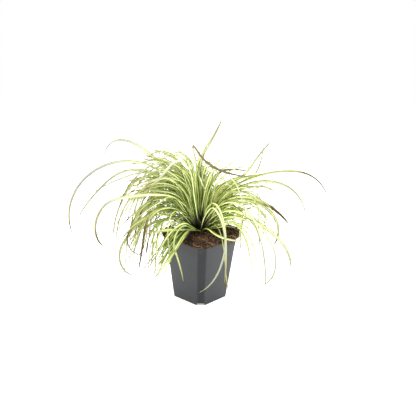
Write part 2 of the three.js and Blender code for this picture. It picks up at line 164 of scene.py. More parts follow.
# Leaves that only the finer pieces show.  They aren't bound to their shoots' sectors, and most
# cross others.  Their rows end with the twist that turns their faces to the open side.
FREE_LEAVES = (
    (9, -70, 280, (80, 91, -30, 0), 190, 5.0, 0.52, -90),
    (5, 52, 240, (85, 66, -30, -50), -160, 3.4, 0.05, 50),
    (5, 37, 205, (86, 70, -26, -48), -130, 4.2, 0.05, 45),
    (4, 15, 190, (89, 64, -22, -45), -60, 4.0, 0.10, 60),
    (4, 10, 205, (86, 58, -14, -52), -40, 4.4, 0.10, 60),
    (11, -54, 118, (21, 13, 8, 2), -38, 4.4, 0.03, -60),
    (8, 5, 84, (84, 16, -46, -54), 0, 2.8, 0.05, -40),
    (8, -10, 100, (66, 14, -30, -46), 0, 3.0, 0.05, -40),
    (7, 0, 66, (60, 48, 40, 20), 0, 3.2, 0.75, -60),
    (3, -55, 118, (85, 75, 26, 28), 0, 5.6, 0.04, 40),
)
FRONT_BAND = 5          # the free leaf that lies across the front
FREE_SECTOR = 176       # angle within which a free leaf stays

# ---------------------------------------------------------------- sizes of the added looks

SHOOT_SEED = 41
LIGHT_SIDE = -47        # heading that the leaves turn their faces to
FRONT = -47             # heading of the side where the soil shows
OPEN_FRONT = 62         # finer leaves keep this far off it

# The solids' blades are wider than life, so many of these are narrower.
SLIM_SHOOTS = (7, 8, 9, 10, 11)
FAR_REACH = 270         # a longer leaf of those shoots keeps its width
WIDE = 3.3              # of what the others have beyond this width,
WIDE_SHARE = 0.3        # this share stays
BUNDLE_REACH = 140      # a shorter leaf of the low shoots hangs in the bundle
BUNDLE_NARROWING = 0.8
TUFT_NARROWING = 0.87

# How far the colours along a leaf, its painted root shade included, are moved toward its root.
FRONT_COLOUR_SHIFT = 30     # the leaf across the front is bright down to its root
LOW_COLOUR_SHIFT = -24      # the bundle's painted root shade and dark greens reach further out
LOW_BAND = 0.7              # the share of its cream band that the bundle keeps

# Added leaves of each shoot, and the angles within which they stay.
STRAY_LEAVES = {0: 4, 1: 6, 2: 4, 3: 1, 5: 2, 6: 6, 7: 8, 8: 6, 11: 2}
LOW_LEAVES = {8: 5, 9: 2}
WITHERED_LEAVES = {5: 3, 6: 6, 7: 7}
FINER_SECTOR = 150
LOW_SECTOR = 90
STRAY_SECTOR = 170

TALL_SHOOTS = (5, 6, 7, 8)
TALL_SHARE = 0.7        # share of their finer leaves that stand up and reach far
FINER_SHARE = 3.5       # finer leaves for each one that the CAD part draws
FULLER_SHARE = 4.0      # the same in the tall shoots
FINER_LENGTH = 0.75     # greatest length of the others, as a share of the shoot's mean
FULLER_LENGTH = 1.15    # the same in the tall shoots
WITHERING_CHANCE = 0.04

LOWEST_TIP = 25         # a finer, dead or stray leaf whose route would sink lower is shortened
SHORTENING = 0.9
RIM_CLEARANCE = 10      # and one whose route comes nearer to the pot's walls is raised
RIM_LIFT = 10

SECTION = np.array((-1.0, -0.64, -0.3, 0.0, 0.3, 0.64, 1.0))    # stations across the upper side
LOWER = SECTION[-2:0:-1]                                        # and back across the underside
BLADE_THICKNESS = 0.26
MARGIN_THICKNESS = 0.07
KEEL_THICKNESS = 0.16   # what the keel adds under the middle
KEEL_SPREAD = 0.25      # share of the half width that it takes
THIN_HALF = 0.6         # a blade with a smaller half width is thinner too
CHANNEL_CURVE = 1.25    # 1 makes a sharp channel, 2 a round one
FOLD = 36               # how steeply the halves of a blade rise from its middle
ROOT_FOLD = 22          # what the root adds
ROOT_FOLD_REACH = 26
TIP_FOLD = 14           # what the tip adds
FINE_TIP = 0.6
ROOT_DEPTH = 7          # a blade starts this far inside its sheath
ROOT_NARROWING = 0.4
ROOT_NARROWING_REACH = 30
BESIDE = 1.1            # how far leaves stand beside each other in the sheath
BESIDE_REACH = 22
WANDER_TURN = 7         # radians that a wandering leaf swings through
WAVE = 8                # degrees by which a blade rocks to and fro
TWIST_RATE = 1.5        # a blade has its whole twist at two thirds of its length

SHEATH_BOTTOM = 96
SHEATH_TOP = 114
SHEATH_RINGS = 9
SHEATH_SIDES = 15
SHEATH_SCALES = 5

SOIL_SEED = 7
SOIL_SIDES = 220
SOIL_DIVISIONS = (1, 3, 3, 4, 6, 7, 7, 7, 6, 6)    # finer rings between those of the profile
CRUMBS = 1500
FIBRES = 1700
LOOSE_FIBRES = 260      # in the loose sides of the root ball
FIBRE_STEPS = 8
LOOSE_STEPS = 5
EDGE_START = 30         # from here to the rim, fibres grow longer and stand up more
EDGE_SPREAD = 18

MERGING = 0.01          # points of the pot's mesh that are nearer than this are one
FLAT_ANGLE = 0.6        # faces of it that differ less are one
EDGE_SOFTNESS = 0.35
CORNER_START = 1.74     # |x| + |y| over the larger of them, where the flattened corner and its painted shade begin

CAMERA_PLACE = (0.5802, -0.6242, 0.3793)
CAMERA_TARGET = (0.0073, 0.0068, 0.1494)
CAMERA_ROLL = 1.45
CAMERA_LENS = 47.75
FLOOR_SIZE = 8
FLOOR_GLOW = 0.3
WORLD_LIGHT = 2.8
CAMERA_SIDE_LIGHT = 0.35    # share of it that comes from behind the camera
LIGHT_TARGET = (0, 0, 0.12)

# Name, place, size and power of each soft light.
LIGHTS = (
    ("key", (-0.5, -0.8, 2.0), 1.2, 15.0),
    ("right", (1.3, 0.8, 0.7), 1.0, 12.0),
    ("left", (-1.3, -1.1, 0.6), 0.9, 9.0),
)

# ---------------------------------------------------------------- small helpers


def mix(low, high, share):
    return low + (high - low) * share


def clamp(value, low, high):
    return max(low, min(high, value))


def unit(rows):
    return rows / np.maximum(np.linalg.norm(rows, axis=-1, keepdims=True), 1e-9)


def make_draw(seed):
    """Park and Miller's generator, as in the CAD part, so that both draw the same tuft."""
    state = seed

    def draw(low, high):
        nonlocal state
        state = (state * 16807) % 2147483647
        return mix(low, high, state / 2147483647)

    return draw


class Skin:
    """Collects closed bodies with their point layers, then makes them one mesh object."""

    def __init__(self):
        self.points, self.faces, self.layers, self.count = [], [], {}, 0

    def add(self, points, faces, **layers):
        self.points.append(points)
        self.faces.append(faces + self.count)
        self.count += len(points)
        for name, value in layers.items():
            rows = np.broadcast_to(np.asarray(value, float), (len(points), 3))
            self.layers.setdefault(name, []).append(rows)

    def build(self, name, material, sharp=60.0):
        points = np.concatenate(self.points) * MM
        faces = np.concatenate(self.faces)
        mesh = bpy.data.meshes.new(name)
        mesh.vertices.add(len(points))
        mesh.vertices.foreach_set("co", points.astype(np.float32).ravel())
        mesh.loops.add(faces.size)
        mesh.loops.foreach_set("vertex_index", faces.astype(np.int32).ravel())
        mesh.polygons.add(len(faces))
        mesh.polygons.foreach_set("loop_start", np.arange(0, faces.size, 3, dtype=np.int32))
        mesh.update(calc_edges=True)
        for layer, parts in self.layers.items():
            rows = np.concatenate(parts).astype(np.float32)
            attribute = mesh.attributes.new(layer, "FLOAT_VECTOR", "POINT")
            attribute.data.foreach_set("vector", rows.ravel())
        mesh.shade_smooth()
        mesh.set_sharp_from_angle(angle=math.radians(sharp))
        mesh.materials.append(material)
        piece = bpy.data.objects.new(name, mesh)
        bpy.context.scene.collection.objects.link(piece)
        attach(piece, "root")
        return piece


def loft_faces(rings, sides):
    """Faces of a closed body through rings that run clockwise, seen from the last ring."""
    ring, side = np.meshgrid(np.arange(rings - 1), np.arange(sides), indexing="ij")
    a = (ring * sides + side).ravel()
    b = (ring * sides + (side + 1) % sides).ravel()
    c, d = b + sides, a + sides
    fan = np.arange(1, sides - 1)
    first = np.stack([np.zeros_like(fan), fan, fan + 1], 1)
    last = np.stack([np.zeros_like(fan), fan + 1, fan], 1) + (rings - 1) * sides
    return np.concatenate([np.stack([a, d, c], 1), np.stack([a, c, b], 1), first, last])


def frames(path, hint):
    """Unit rows that point sideways and up along a path; sideways stays near the hint."""
    tangent = unit(np.gradient(path, axis=0))
    across = unit(hint - tangent * np.sum(hint * tangent, axis=1, keepdims=True))
    return across, np.cross(tangent, across)


# ---------------------------------------------------------------- leaves


def shoot_place(shoot):
    heading = math.radians(SHOOT_TURN + SECTOR * shoot)
    return heading, INNER_RING if shoot % 2 else OUTER_RING


def leaf_width(share, width, tip):
    """Folded and narrow at the root, full near the middle, then drawn out to a fine tip."""
    opening = 0.42 + 0.58 * math.sin(min(share / 0.42, 1) * math.pi / 2)
    return max(width * opening * (1 - share**6) ** 0.65, tip)


def leaf_bend(share, bend):
    third = min(int(share * 3), 2)
    return mix(bend[third], bend[third + 1], share * 3 - third)


def leaf_route(leaf):
    """Walks along the leaf in short steps, inside its sector, as the CAD part does."""
    heading, ring = shoot_place(leaf["shoot"])
    side = math.radians(leaf.get("sector", SECTOR) / 2)
    step = leaf["length"] / LEAF_STEPS
    along, across = ring, 0.0
    z = ROOT_HEIGHT + ROOT_CLIMB * (leaf["bend"][0] / 90) ** 2
    stations = []
    for n in range(LEAF_STEPS + 1):
        half = leaf_width(n / LEAF_STEPS, leaf["width"], MIN_WIDTH) / 2
        free = along * math.tan(side) - (half + LEAF_CLEARANCE) / math.cos(side)
        limit = max(0.0, free)
        across = clamp(across, -limit, limit)
        x = along * math.cos(heading) - across * math.sin(heading)
        y = along * math.sin(heading) + across * math.cos(heading)
        stations.append((x, y, z))
        after = (n + 0.5) / LEAF_STEPS
        rise = math.radians(leaf_bend(min(after, 1), leaf["bend"]))
        turn = math.radians(leaf["lean"] + leaf["sway"] * after)
        along += math.cos(rise) * math.cos(turn) * step
        across += math.cos(rise) * math.sin(turn) * step
        z += math.sin(rise) * step
    return np.array(stations)


def showing_leaves():
    """The leaves written one by one, with the widths and colours that this script changes."""
    names = ("shoot", "lean", "length", "bend", "sway", "width", "dry", "twist")
    bound = [dict(zip(names, row)) for row in SHOWING_LEAVES]
    free = [dict(zip(names, row), sector=FREE_SECTOR) for row in FREE_LEAVES]
    free[FRONT_BAND]["colour_shift"] = FRONT_COLOUR_SHIFT
    for leaf in bound:
        if leaf["shoot"] in SLIM_SHOOTS and leaf["length"] < FAR_REACH:
            leaf["width"] = min(leaf["width"], mix(WIDE, leaf["width"], WIDE_SHARE))
        if leaf["shoot"] in LOW_LEAVES and leaf["length"] < BUNDLE_REACH:
            leaf["colour_shift"] = LOW_COLOUR_SHIFT
            leaf["width"] *= BUNDLE_NARROWING
    return bound + free


def arch(rise, length, fall, near, far):
    """Rise at a leaf's four stations: stiff near the root, then falling over and hanging."""
    bend = []
    for third in range(4):
        distance = length * third / 3
        share = clamp((distance - near) / (far - near), 0, 1)
        droop = fall * share * share * (3 - 2 * share) + SAG * distance
        bend.append(max(rise - droop, STEEPEST_HANG))
    return bend


def draw_tuft():
    """The CAD part's drawn leaves, draw for draw, with narrower blades."""
    draw = make_draw(TUFT_SEED)
    leaves = []
    for shoot, (count, mean) in enumerate(TUFT):
        steepest, flattest = (88, 54) if shoot % 2 else (80, 28)
        for n in range(count):
            place = (n + draw(0.2, 0.8)) / count
            rise = mix(steepest, flattest, place)
            length = mean * draw(0.75, 1.25) * (0.84 + 0.2 * place)
            fall = draw(60, 135)
            near = draw(15, 65)
            bend = arch(rise, length, fall, near, near + draw(80, 125))
            lean = draw(-13, 13)
            sway = draw(-24, 24)
            width = draw(3.0, 4.6) * TUFT_NARROWING
            leaves.append(
                dict(shoot=shoot, lean=lean, length=length, bend=bend, sway=sway, width=width)
            )
    return leaves


def add_blade(skin, leaf, rng):
    """One leaf: channelled above, keeled below, folded at its root and tip, and twisting."""
    route = leaf_route(leaf)[:: leaf.get("stride", 1)]
    count = len(route)
    share = np.linspace(0, 1, count)
    distance = share * leaf["length"]

    # Leaves stand beside each other in the sheath and meet the CAD part's route further out.
    beside = np.array((rng.uniform(-1, 1), rng.uniform(-1, 1), 0.0)) * BESIDE
    route = route + beside * np.exp(-distance / BESIDE_REACH)[:, None]
    sag = np.array([rng.uniform(-1, 1) for _ in range(3)]) * leaf.get("wander", 0.0)
    phase = rng.uniform(0, FULL_TURN)
    swing = np.sin(share * WANDER_TURN + phase) - math.sin(phase)
    route = route + sag * swing[:, None] * share[:, None]
    root = route[0] - (0, 0, ROOT_DEPTH)
    route = np.vstack([root, route])
    share = np.concatenate([[0.0], share])
    distance = np.concatenate([[0.0], distance])

    heading, _ = shoot_place(leaf["shoot"])
    turn = heading + np.radians(leaf["lean"] + leaf["sway"] * share)
    hint = np.stack([-np.sin(turn), np.cos(turn), np.zeros_like(turn)], 1)
    across, up = frames(route, hint)
    wave = np.sin(share * rng.uniform(2.0, 5.0) + rng.uniform(0, FULL_TURN)) * WAVE
    twist = np.radians(leaf["twist"] * np.minimum(1, TWIST_RATE * share) + wave * share)
    side = across * np.cos(twist)[:, None] + up * np.sin(twist)[:, None]
    top = up * np.cos(twist)[:, None] - across * np.sin(twist)[:, None]

    half = np.array([leaf_width(s, leaf["width"], FINE_TIP) for s in share]) / 2
    half = half * (1 - ROOT_NARROWING * np.exp(-distance / ROOT_NARROWING_REACH))
    fold = FOLD + ROOT_FOLD * np.exp(-distance / ROOT_FOLD_REACH) + TIP_FOLD * share**5
    depth = half * np.tan(np.radians(fold))
    ring = []
    for u in SECTION:
        lift = depth * (abs(u) ** CHANNEL_CURVE - 0.5)
        ring.append(route + side * (u * half)[:, None] + top * lift[:, None])
    for u in LOWER:
        thick = mix(BLADE_THICKNESS, MARGIN_THICKNESS, abs(u)) * np.minimum(1, half / THIN_HALF)
        thick = thick + KEEL_THICKNESS * max(0.0, 1 - abs(u) / KEEL_SPREAD)
        lift = depth * (abs(u) ** CHANNEL_CURVE - 0.5) - thick
        ring.append(route + side * (u * half)[:, None] + top * lift[:, None])
    sides = len(ring)
    points = np.stack(ring, 1).reshape(-1, 3)

    spread = np.concatenate([SECTION, LOWER])
    blade = np.stack(
        [
            np.tile(spread, len(route)),
            np.repeat(share, sides),
            np.repeat(distance, sides),
        ],
        1,
    )
    blade[:, 2] += leaf.get("colour_shift", 0)
    looks = (leaf["tone"], leaf["dry"], leaf["band"])
    skin.add(points, loft_faces(len(route), sides), blade=blade, leaf=looks)


def add_sheath(skin, shoot, rng):
    """The stem of a shoot, rolled from its leaf bases, with papery brown scales round it."""
    heading, ring = shoot_place(shoot)
    middle = np.array((ring * math.cos(heading), ring * math.sin(heading), 0.0))
    heights = np.linspace(SHEATH_BOTTOM, SHEATH_TOP, SHEATH_RINGS)
    angle = -np.arange(SHEATH_SIDES) / SHEATH_SIDES * 2 * math.pi
    rows = []
    for n, z in enumerate(heights):
        share = n / (SHEATH_RINGS - 1)
        radius = SHEATH_RADIUS * mix(1.0, 0.72, share) * (1 + 0.07 * np.cos(3 * angle + share))
        rows.append(
            middle + np.stack([radius * np.cos(angle), radius * np.sin(angle), 0 * angle + z], 1)
        )
    points = np.concatenate(rows)
    share = np.repeat(np.linspace(0, 1, SHEATH_RINGS), SHEATH_SIDES)
    blade = np.stack([np.tile(np.sin(3 * angle), SHEATH_RINGS), 0.6 * share, 25 * share], 1)
    faces = loft_faces(SHEATH_RINGS, SHEATH_SIDES)
    skin.add(points, faces, blade=blade, leaf=(0.3, 0.75, 0.4))
    for _ in range(SHEATH_SCALES):
        rise = rng.uniform(70, 89)
        scale = dict(
            shoot=shoot,
            lean=rng.uniform(-170, 170),
            length=rng.uniform(9, 22),
            bend=[rise, rise - 4, rise - 12, rise - rng.uniform(14, 60)],
            sway=rng.uniform(-20, 20),
            width=rng.uniform(3.0, 4.6),
            dry=1.0,
            tone=rng.random(),
            band=0.5,
            twist=rng.uniform(-20, 20),
            stride=4,
            sector=STRAY_SECTOR,
        )
        add_blade(skin, scale, rng)


def enters_pot(leaf):
    """Whether a leaf's route comes too near to the pot's walls."""
    for x, y, z in leaf_route(leaf):
        half = mix(BASE_WIDTH, RIM_WIDTH, z / POT_HEIGHT) / 2
        reach = square_reach(half, CORNER_CUT, math.atan2(y, x)) + RIM_CLEARANCE
        if z < POT_HEIGHT and math.hypot(x, y) < reach:
            return True
    return False


def settled(leaf):
    """Shortens a leaf that would sink too low and raises one that would cut into the pot."""
    while leaf_route(leaf)[:, 2].min() < LOWEST_TIP:
        leaf["length"] *= SHORTENING
    while enters_pot(leaf):
        leaf["bend"][1] += RIM_LIFT
    return leaf


def finer_leaves(shoot, rng):
    """Thinner leaves that fill the tuft between the CAD part's own."""
    count, mean = TUFT[shoot]
    fuller = shoot in TALL_SHOOTS
    share = FULLER_SHARE if fuller else FINER_SHARE
    longest = FULLER_LENGTH if fuller else FINER_LENGTH
    leaves = []
    for _ in range(int(share * count)):
        tall = fuller and rng.random() < TALL_SHARE
        rise = rng.uniform(60, 84) if tall else rng.uniform(28, 80)
        length = mean * (rng.uniform(0.7, 1.0) if tall else rng.uniform(0.45, longest))
        fall = rng.uniform(50, 150)
        near = rng.uniform(40, 85) if tall else rng.uniform(0, 65)
        lean = rng.uniform(-60, 60)
        sway = rng.uniform(-80, 80)
        heading = SHOOT_TURN + SECTOR * shoot + lean + sway / 2
        off_front = abs((heading - FRONT + 180) % 360 - 180)
        if off_front < OPEN_FRONT:
            lean, sway = -lean, -sway
        leaf = dict(
            shoot=shoot,
            lean=lean,
            length=length,
            bend=arch(rise, length, fall, near, near + rng.uniform(50, 120)),
            sway=sway,
            width=rng.uniform(2.0, 3.4),
            stride=2,
            wander=0.045 * length,
            sector=FINER_SECTOR,
        )
        leaves.append(settled(leaf))
    return leaves


def low_leaves(shoot, rng):
    """More leaves of the low bundle that hangs over the rim between two shoots."""
    leaves = []
    lean_back = SECTOR if shoot == max(LOW_LEAVES) else 0
    for _ in range(LOW_LEAVES.get(shoot, 0)):
        rise = rng.uniform(18, 52)
        leaf = dict(
            shoot=shoot,
            lean=rng.uniform(6, 20) - lean_back,
            length=rng.uniform(80, 130),
            bend=[rise, rise - 45, -rng.uniform(40, 60), -rng.uniform(44, 64)],
            sway=rng.uniform(-14, 14),
            width=rng.uniform(1.8, 2.8),
            colour_shift=LOW_COLOUR_SHIFT,
            sector=LOW_SECTOR,
        )
        leaves.append(leaf)
    return leaves


def withered_leaves(shoot, rng):
    """Dead leaves, thin and curled, that hang in the full side of the tuft."""
    leaves = []
    for _ in range(WITHERED_LEAVES.get(shoot, 0)):
        length = rng.uniform(110, 210)
        near = rng.uniform(5, 45)
        rise = rng.uniform(25, 75)
        leaf = dict(
            shoot=shoot,
            lean=rng.uniform(-30, 12),
            length=length,
            bend=arch(rise, length, rng.uniform(90, 150), near, near + rng.uniform(40, 90)),
            sway=rng.uniform(-60, 15),
            width=rng.uniform(1.3, 2.3),
            dry=rng.uniform(0.8, 1.0),
            stride=2,
            wander=0.06 * length,
            sector=FINER_SECTOR,
        )
        leaves.append(settled(leaf))
    return leaves


def stray_leaves(shoot, rng):
    """Long thin leaves that stand apart from the tuft."""
    leaves = []
    for _ in range(STRAY_LEAVES.get(shoot, 0)):
        length = rng.uniform(150, 215)
        near = rng.uniform(20, 80)
        rise = rng.uniform(45, 82)
        leaf = dict(
            shoot=shoot,
            lean=rng.uniform(-30, 30),
            length=length,
            bend=arch(rise, length, rng.uniform(70, 160), near, near + rng.uniform(50, 110)),
            sway=rng.uniform(-70, 70),
            width=rng.uniform(1.7, 2.8),
            stride=2,
            wander=0.05 * length,
            sector=STRAY_SECTOR,
        )
        leaves.append(settled(leaf))
    return leaves


def finish_leaf(leaf, rng):
    """Gives a leaf its own tone and band of cream, and what its row doesn't say."""
    leaf["tone"] = rng.random()
    kept_band = LOW_BAND if leaf.get("colour_shift", 0) < 0 else 1
    leaf["band"] = rng.uniform(0.3, 0.74) * kept_band

    # Leaves turn their faces to the light, the showing and the withered ones further than others.
    heading = SHOOT_TURN + SECTOR * leaf["shoot"] + leaf["lean"] + 0.7 * leaf["sway"]
    aside = math.sin(math.radians(LIGHT_SIDE - heading))
    further = math.copysign(math.sqrt(abs(aside)), aside)
    twist = rng.uniform(-12, 12) - further * rng.uniform(60, 80)
    if "dry" not in leaf:
        twist = rng.uniform(-25, 25) - aside * rng.uniform(30, 80)
    leaf.setdefault("twist", twist)
    withered = rng.random() < WITHERING_CHANCE
    leaf.setdefault("dry", rng.uniform(0.15, 0.4) if withered else rng.uniform(0, 0.1))


def make_shoots(material):
    """One piece for each shoot: its leaves, the added ones and its sheath."""
    rng = random.Random(SHOOT_SEED)
    known = showing_leaves() + draw_tuft()
    for shoot in range(SHOOTS):
        skin = Skin()
        leaves = [leaf for leaf in known if leaf["shoot"] == shoot]
        for make in (finer_leaves, low_leaves, withered_leaves, stray_leaves):
            leaves += make(shoot, rng)
        for leaf in leaves:
            finish_leaf(leaf, rng)
            add_blade(skin, leaf, rng)
        add_sheath(skin, shoot, rng)
        name = f"shoot_{shoot + 1:02d}"
        piece = skin.build(f"{name}_leaves", material)
        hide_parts(name)


# ---------------------------------------------------------------- soil


def square_reach(half, cut, angle):
    """Distance from the axis to the side of a square with flattened corners."""
    c, s = abs(math.cos(angle)), abs(math.sin(angle))
    return min(half / max(c, s), (2 * half - cut) / (c + s))


def clod(angle):
    """How much the root ball stands up and out over the rim along one heading."""
    total = 0.0
    for heading, spread, size in CLOD_HEADINGS:
        away = (math.degrees(angle) - heading + 180) % 360 - 180
        total += size * math.exp(-((away / spread) ** 2))
    return total


def soil_profile(angle):
    """Reach and height of the heap along one heading, from inside the pot up to the crown."""
    rim = POT_HEIGHT + GAP
    inset = WALL + 1.2 * GAP
    swell = clod(angle)
    edge = square_reach(RIM_WIDTH / 2 - 0.4, CORNER_CUT, angle)
    inner = square_reach(RIM_WIDTH / 2 - inset, CORNER_CUT - inset * 0.59 + 0.6, angle)
    deep = rim - 60
    deep_half = mix(BASE_WIDTH, RIM_WIDTH, deep / POT_HEIGHT) / 2 - inset
    rows = [
        (square_reach(deep_half, CORNER_CUT, angle), deep),
        (inner, rim),
        (edge + 5 * swell, rim + 3.5 * swell),
        (edge - 0.6 + 7.5 * swell, rim + 2 + 7 * swell),
    ]
    for share in (0.92, 0.8, 0.66, 0.52, 0.38):
        heap = math.cos(share * math.pi / 2) ** 0.8
        rise = (SOIL_CROWN - rim - 3.5) * heap + 3.5 + 12 * swell * share**3
        rows.append((share * (edge + 6 * swell), rim + rise))
    rows.append((9, SOIL_CROWN))
    rows.append((0.5, SOIL_CROWN))
    return rows


def soil_surface():
    """Points and faces of the heap, roughened above the rim."""
    columns = []
    for i in range(SOIL_SIDES):
        angle = -i / SOIL_SIDES * 2 * math.pi
        rows = soil_profile(angle)
        column = [(*rows[0], angle)]
        for (r0, z0), (r1, z1), parts in zip(rows, rows[1:], SOIL_DIVISIONS):
            for part in range(1, parts + 1):
                s = part / parts
                column.append((mix(r0, r1, s), mix(z0, z1, s), angle))
        columns.append(column)
    grid = np.array(columns).transpose(1, 0, 2)
    reach, z, angle = grid[..., 0], grid[..., 1], grid[..., 2]
    points = np.stack([reach * np.cos(angle), reach * np.sin(angle), z], -1)
    rings, sides = points.shape[:2]
    points = points.reshape(-1, 3)
    outward = unit(points - np.array((0, 0, POT_HEIGHT - 30)))
    for k, (x, y, height) in enumerate(points):
        loose = clamp((height - POT_HEIGHT - 0.2) / 2.5, 0, 1)
        if loose > 0:
            place = Vector((x, y, height))
            lumps = noise.fractal(place / 9, 0.9, 2.1, 4)
            grains = noise.noise(place / 1.7)
            points[k] += outward[k] * loose * (1.5 * lumps + 0.8 * grains)
    return points, loft_faces(rings, sides)


def add_tube(skin, path, radius, tone):
    """A thread with pointed ends along a path."""
    sides = 4
    count = len(path)
    hint = np.tile((0.3, 0.2, 1.0), (count, 1))
    across, up = frames(path, hint)
    taper = np.sin(np.linspace(0.12, 0.88, count) * math.pi) ** 0.5 * radius
    ring = []
    for k in range(sides):
        angle = -2 * math.pi * k / sides
        ring.append(
            path + (across * math.cos(angle) + up * math.sin(angle)) * taper[:, None]
        )
    points = np.stack(ring, 1).reshape(-1, 3)
    skin.add(points, loft_faces(count, sides), bit=(tone, 0, 0))


def lump_shape():
    """Corner points and faces of a regular lump with twenty sides."""
    ball = bmesh.new()
    bmesh.ops.create_icosphere(ball, subdivisions=1, radius=1.0)
    points = np.array([v.co[:] for v in ball.verts])
    faces = np.array([[v.index for v in f.verts] for f in ball.faces])
    ball.free()
    return points, faces


def heap_places(points, faces, rng):
    """A function that draws places above the rim, more of them where there is more surface."""
    corners = points[faces]
    normal = np.cross(corners[:, 1] - corners[:, 0], corners[:, 2] - corners[:, 0])
    area = np.linalg.norm(normal, axis=1)
    open_air = corners[:, :, 2].min(axis=1) > POT_HEIGHT + 0.4
    weight = np.cumsum(np.where(open_air, area, 0))

    def place():
        row = int(np.searchsorted(weight, rng.random() * weight[-1]))
        a, b = sorted((rng.random(), rng.random()))
        c = corners[row]
        spot = c[0] * a + c[1] * (b - a) + c[2] * (1 - b)
        return Vector(spot), Vector(normal[row]).normalized()

    return place


def add_crumbs(skin, place, rng):
    """Lumps of peat that sit a little way into the heap."""
    lump_points, lump_faces = lump_shape()
    for _ in range(CRUMBS):
        spot, facing = place()
        size = 0.45 + 1.5 * rng.random() ** 3
        stretch = np.array([rng.uniform(0.6, 1.5) for _ in range(3)])
        dents = 1 + 0.28 * np.array([rng.uniform(-1, 1) for _ in lump_points])
        angle = rng.uniform(0, FULL_TURN)
        turn = Matrix.Rotation(angle, 3, Vector((rng.random(), rng.random(), 1)))
        body = (lump_points * dents[:, None] * stretch * size) @ np.array(turn)
        centre = np.array(spot + facing * size * 0.35)
        skin.add(body + centre, lump_faces, bit=(rng.random(), 0, 0))


def add_lying_fibres(skin, place, tree, rng):
    """Threads that follow the heap and arch a little over it."""
    for _ in range(FIBRES):
        spot, facing = place()
        loose = clod(math.atan2(spot.y, spot.x))
        edge = clamp((spot.xy.length - EDGE_START) / EDGE_SPREAD, 0, 1)
        length = rng.uniform(5, 22) * (1 + 0.5 * edge)
        direction = Vector([rng.uniform(-1, 1) for _ in range(3)])
        direction = (direction - facing * direction.dot(facing)).normalized()
        curl = rng.uniform(-0.35, 0.35)
        lift = rng.uniform(0.1, 1.2) * (1 + 1.4 * loose * edge)
        radius = rng.uniform(0.12, 0.3) * (1 + 0.3 * edge)
        path = []
        here = spot.copy()
        for k in range(FIBRE_STEPS + 1):
            near, out, _, _ = tree.find_nearest(here)
            height = radius + lift * math.sin(math.pi * k / FIBRE_STEPS) ** 0.7
            path.append(np.array(near + out * height))
            direction = direction - out * direction.dot(out)
            direction.rotate(Matrix.Rotation(curl + rng.uniform(-0.15, 0.15), 3, out))
            here = near + direction.normalized() * (length / FIBRE_STEPS)
        add_tube(skin, np.array(path), radius, rng.random())


def add_loose_fibres(skin, rng):
    """Threads that stand out of the loose sides of the root ball."""
    for _ in range(LOOSE_FIBRES):
        heading, spread, size = CLOD_HEADINGS[0] if rng.random() < 0.6 else CLOD_HEADINGS[1]
        angle = math.radians(heading + rng.gauss(0, spread * 0.55))
        swell = clod(angle)
        edge = square_reach(RIM_WIDTH / 2, CORNER_CUT, angle)
        here = Vector((math.cos(angle), math.sin(angle), 0)) * (edge + 4 * swell)
        here.z = POT_HEIGHT + rng.uniform(2, 4 + 11 * swell)
        direction = Vector((math.cos(angle), math.sin(angle), rng.uniform(-0.7, 0.5)))
        direction += Vector([rng.uniform(-0.9, 0.9) for _ in range(3)])
        length = rng.uniform(3, 12) * size
        path = []
        for _ in range(LOOSE_STEPS + 1):
            path.append(np.array(here))
            here = here + direction.normalized() * (length / LOOSE_STEPS)
            direction += Vector([rng.uniform(-0.4, 0.4) for _ in range(3)]) - Vector((0, 0, 0.12))
        add_tube(skin, np.array(path), rng.uniform(0.12, 0.26), rng.random())


def make_soil(material, thread_material):
    """The roughened heap with its crumbs, and the threads on and round it."""
    rng = random.Random(SOIL_SEED)
    points, faces = soil_surface()
    place = heap_places(points, faces, rng)
    skin = Skin()
    skin.add(points, faces, bit=(0.4, 0, 0))
    add_crumbs(skin, place, rng)
    soil = skin.build("potting_mix", material, sharp=35)
    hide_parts("soil")

    tree = BVHTree.FromPolygons([Vector(p) for p in points], faces.tolist())
    threads = Skin()
    add_lying_fibres(threads, place, tree, rng)
    add_loose_fibres(threads, rng)
    threads.build("coir_fibres", thread_material)


# ---------------------------------------------------------------- pot


def make_pot(node, material):
    """The CAD part's pot with its faces joined up and its edges softened."""
    mesh = node.data.copy()
    work = bmesh.new()
    work.from_mesh(mesh)
    bmesh.ops.remove_doubles(work, verts=work.verts, dist=MERGING * MM)
    bmesh.ops.dissolve_limit(
        work, angle_limit=math.radians(FLAT_ANGLE), verts=work.verts, edges=work.edges
    )
    work.to_mesh(mesh)
    work.free()
    mesh.materials.clear()
    mesh.materials.append(material)
    pot = bpy.data.objects.new("pot_body", mesh)
    bpy.context.scene.collection.objects.link(pot)
    bevel = pot.modifiers.new("soft edges", "BEVEL")
    bevel.width = EDGE_SOFTNESS * MM
    bevel.segments = 2
    bevel.limit_method = "ANGLE"
    bevel.angle_limit = math.radians(40)
    mesh.shade_smooth()
    mesh.set_sharp_from_angle(angle=math.radians(30))
    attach(pot, "root")
    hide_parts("pot")


# ---------------------------------------------------------------- materials


def colour(red, green, blue):
    """Linear colour of an sRGB triple from 0 to 255."""
    channels = []
    for value in (red, green, blue):
        share = value / 255
        low = share <= 0.04045
        channels.append(share / 12.92 if low else ((share + 0.055) / 1.055) ** 2.4)
    return (*channels, 1.0)


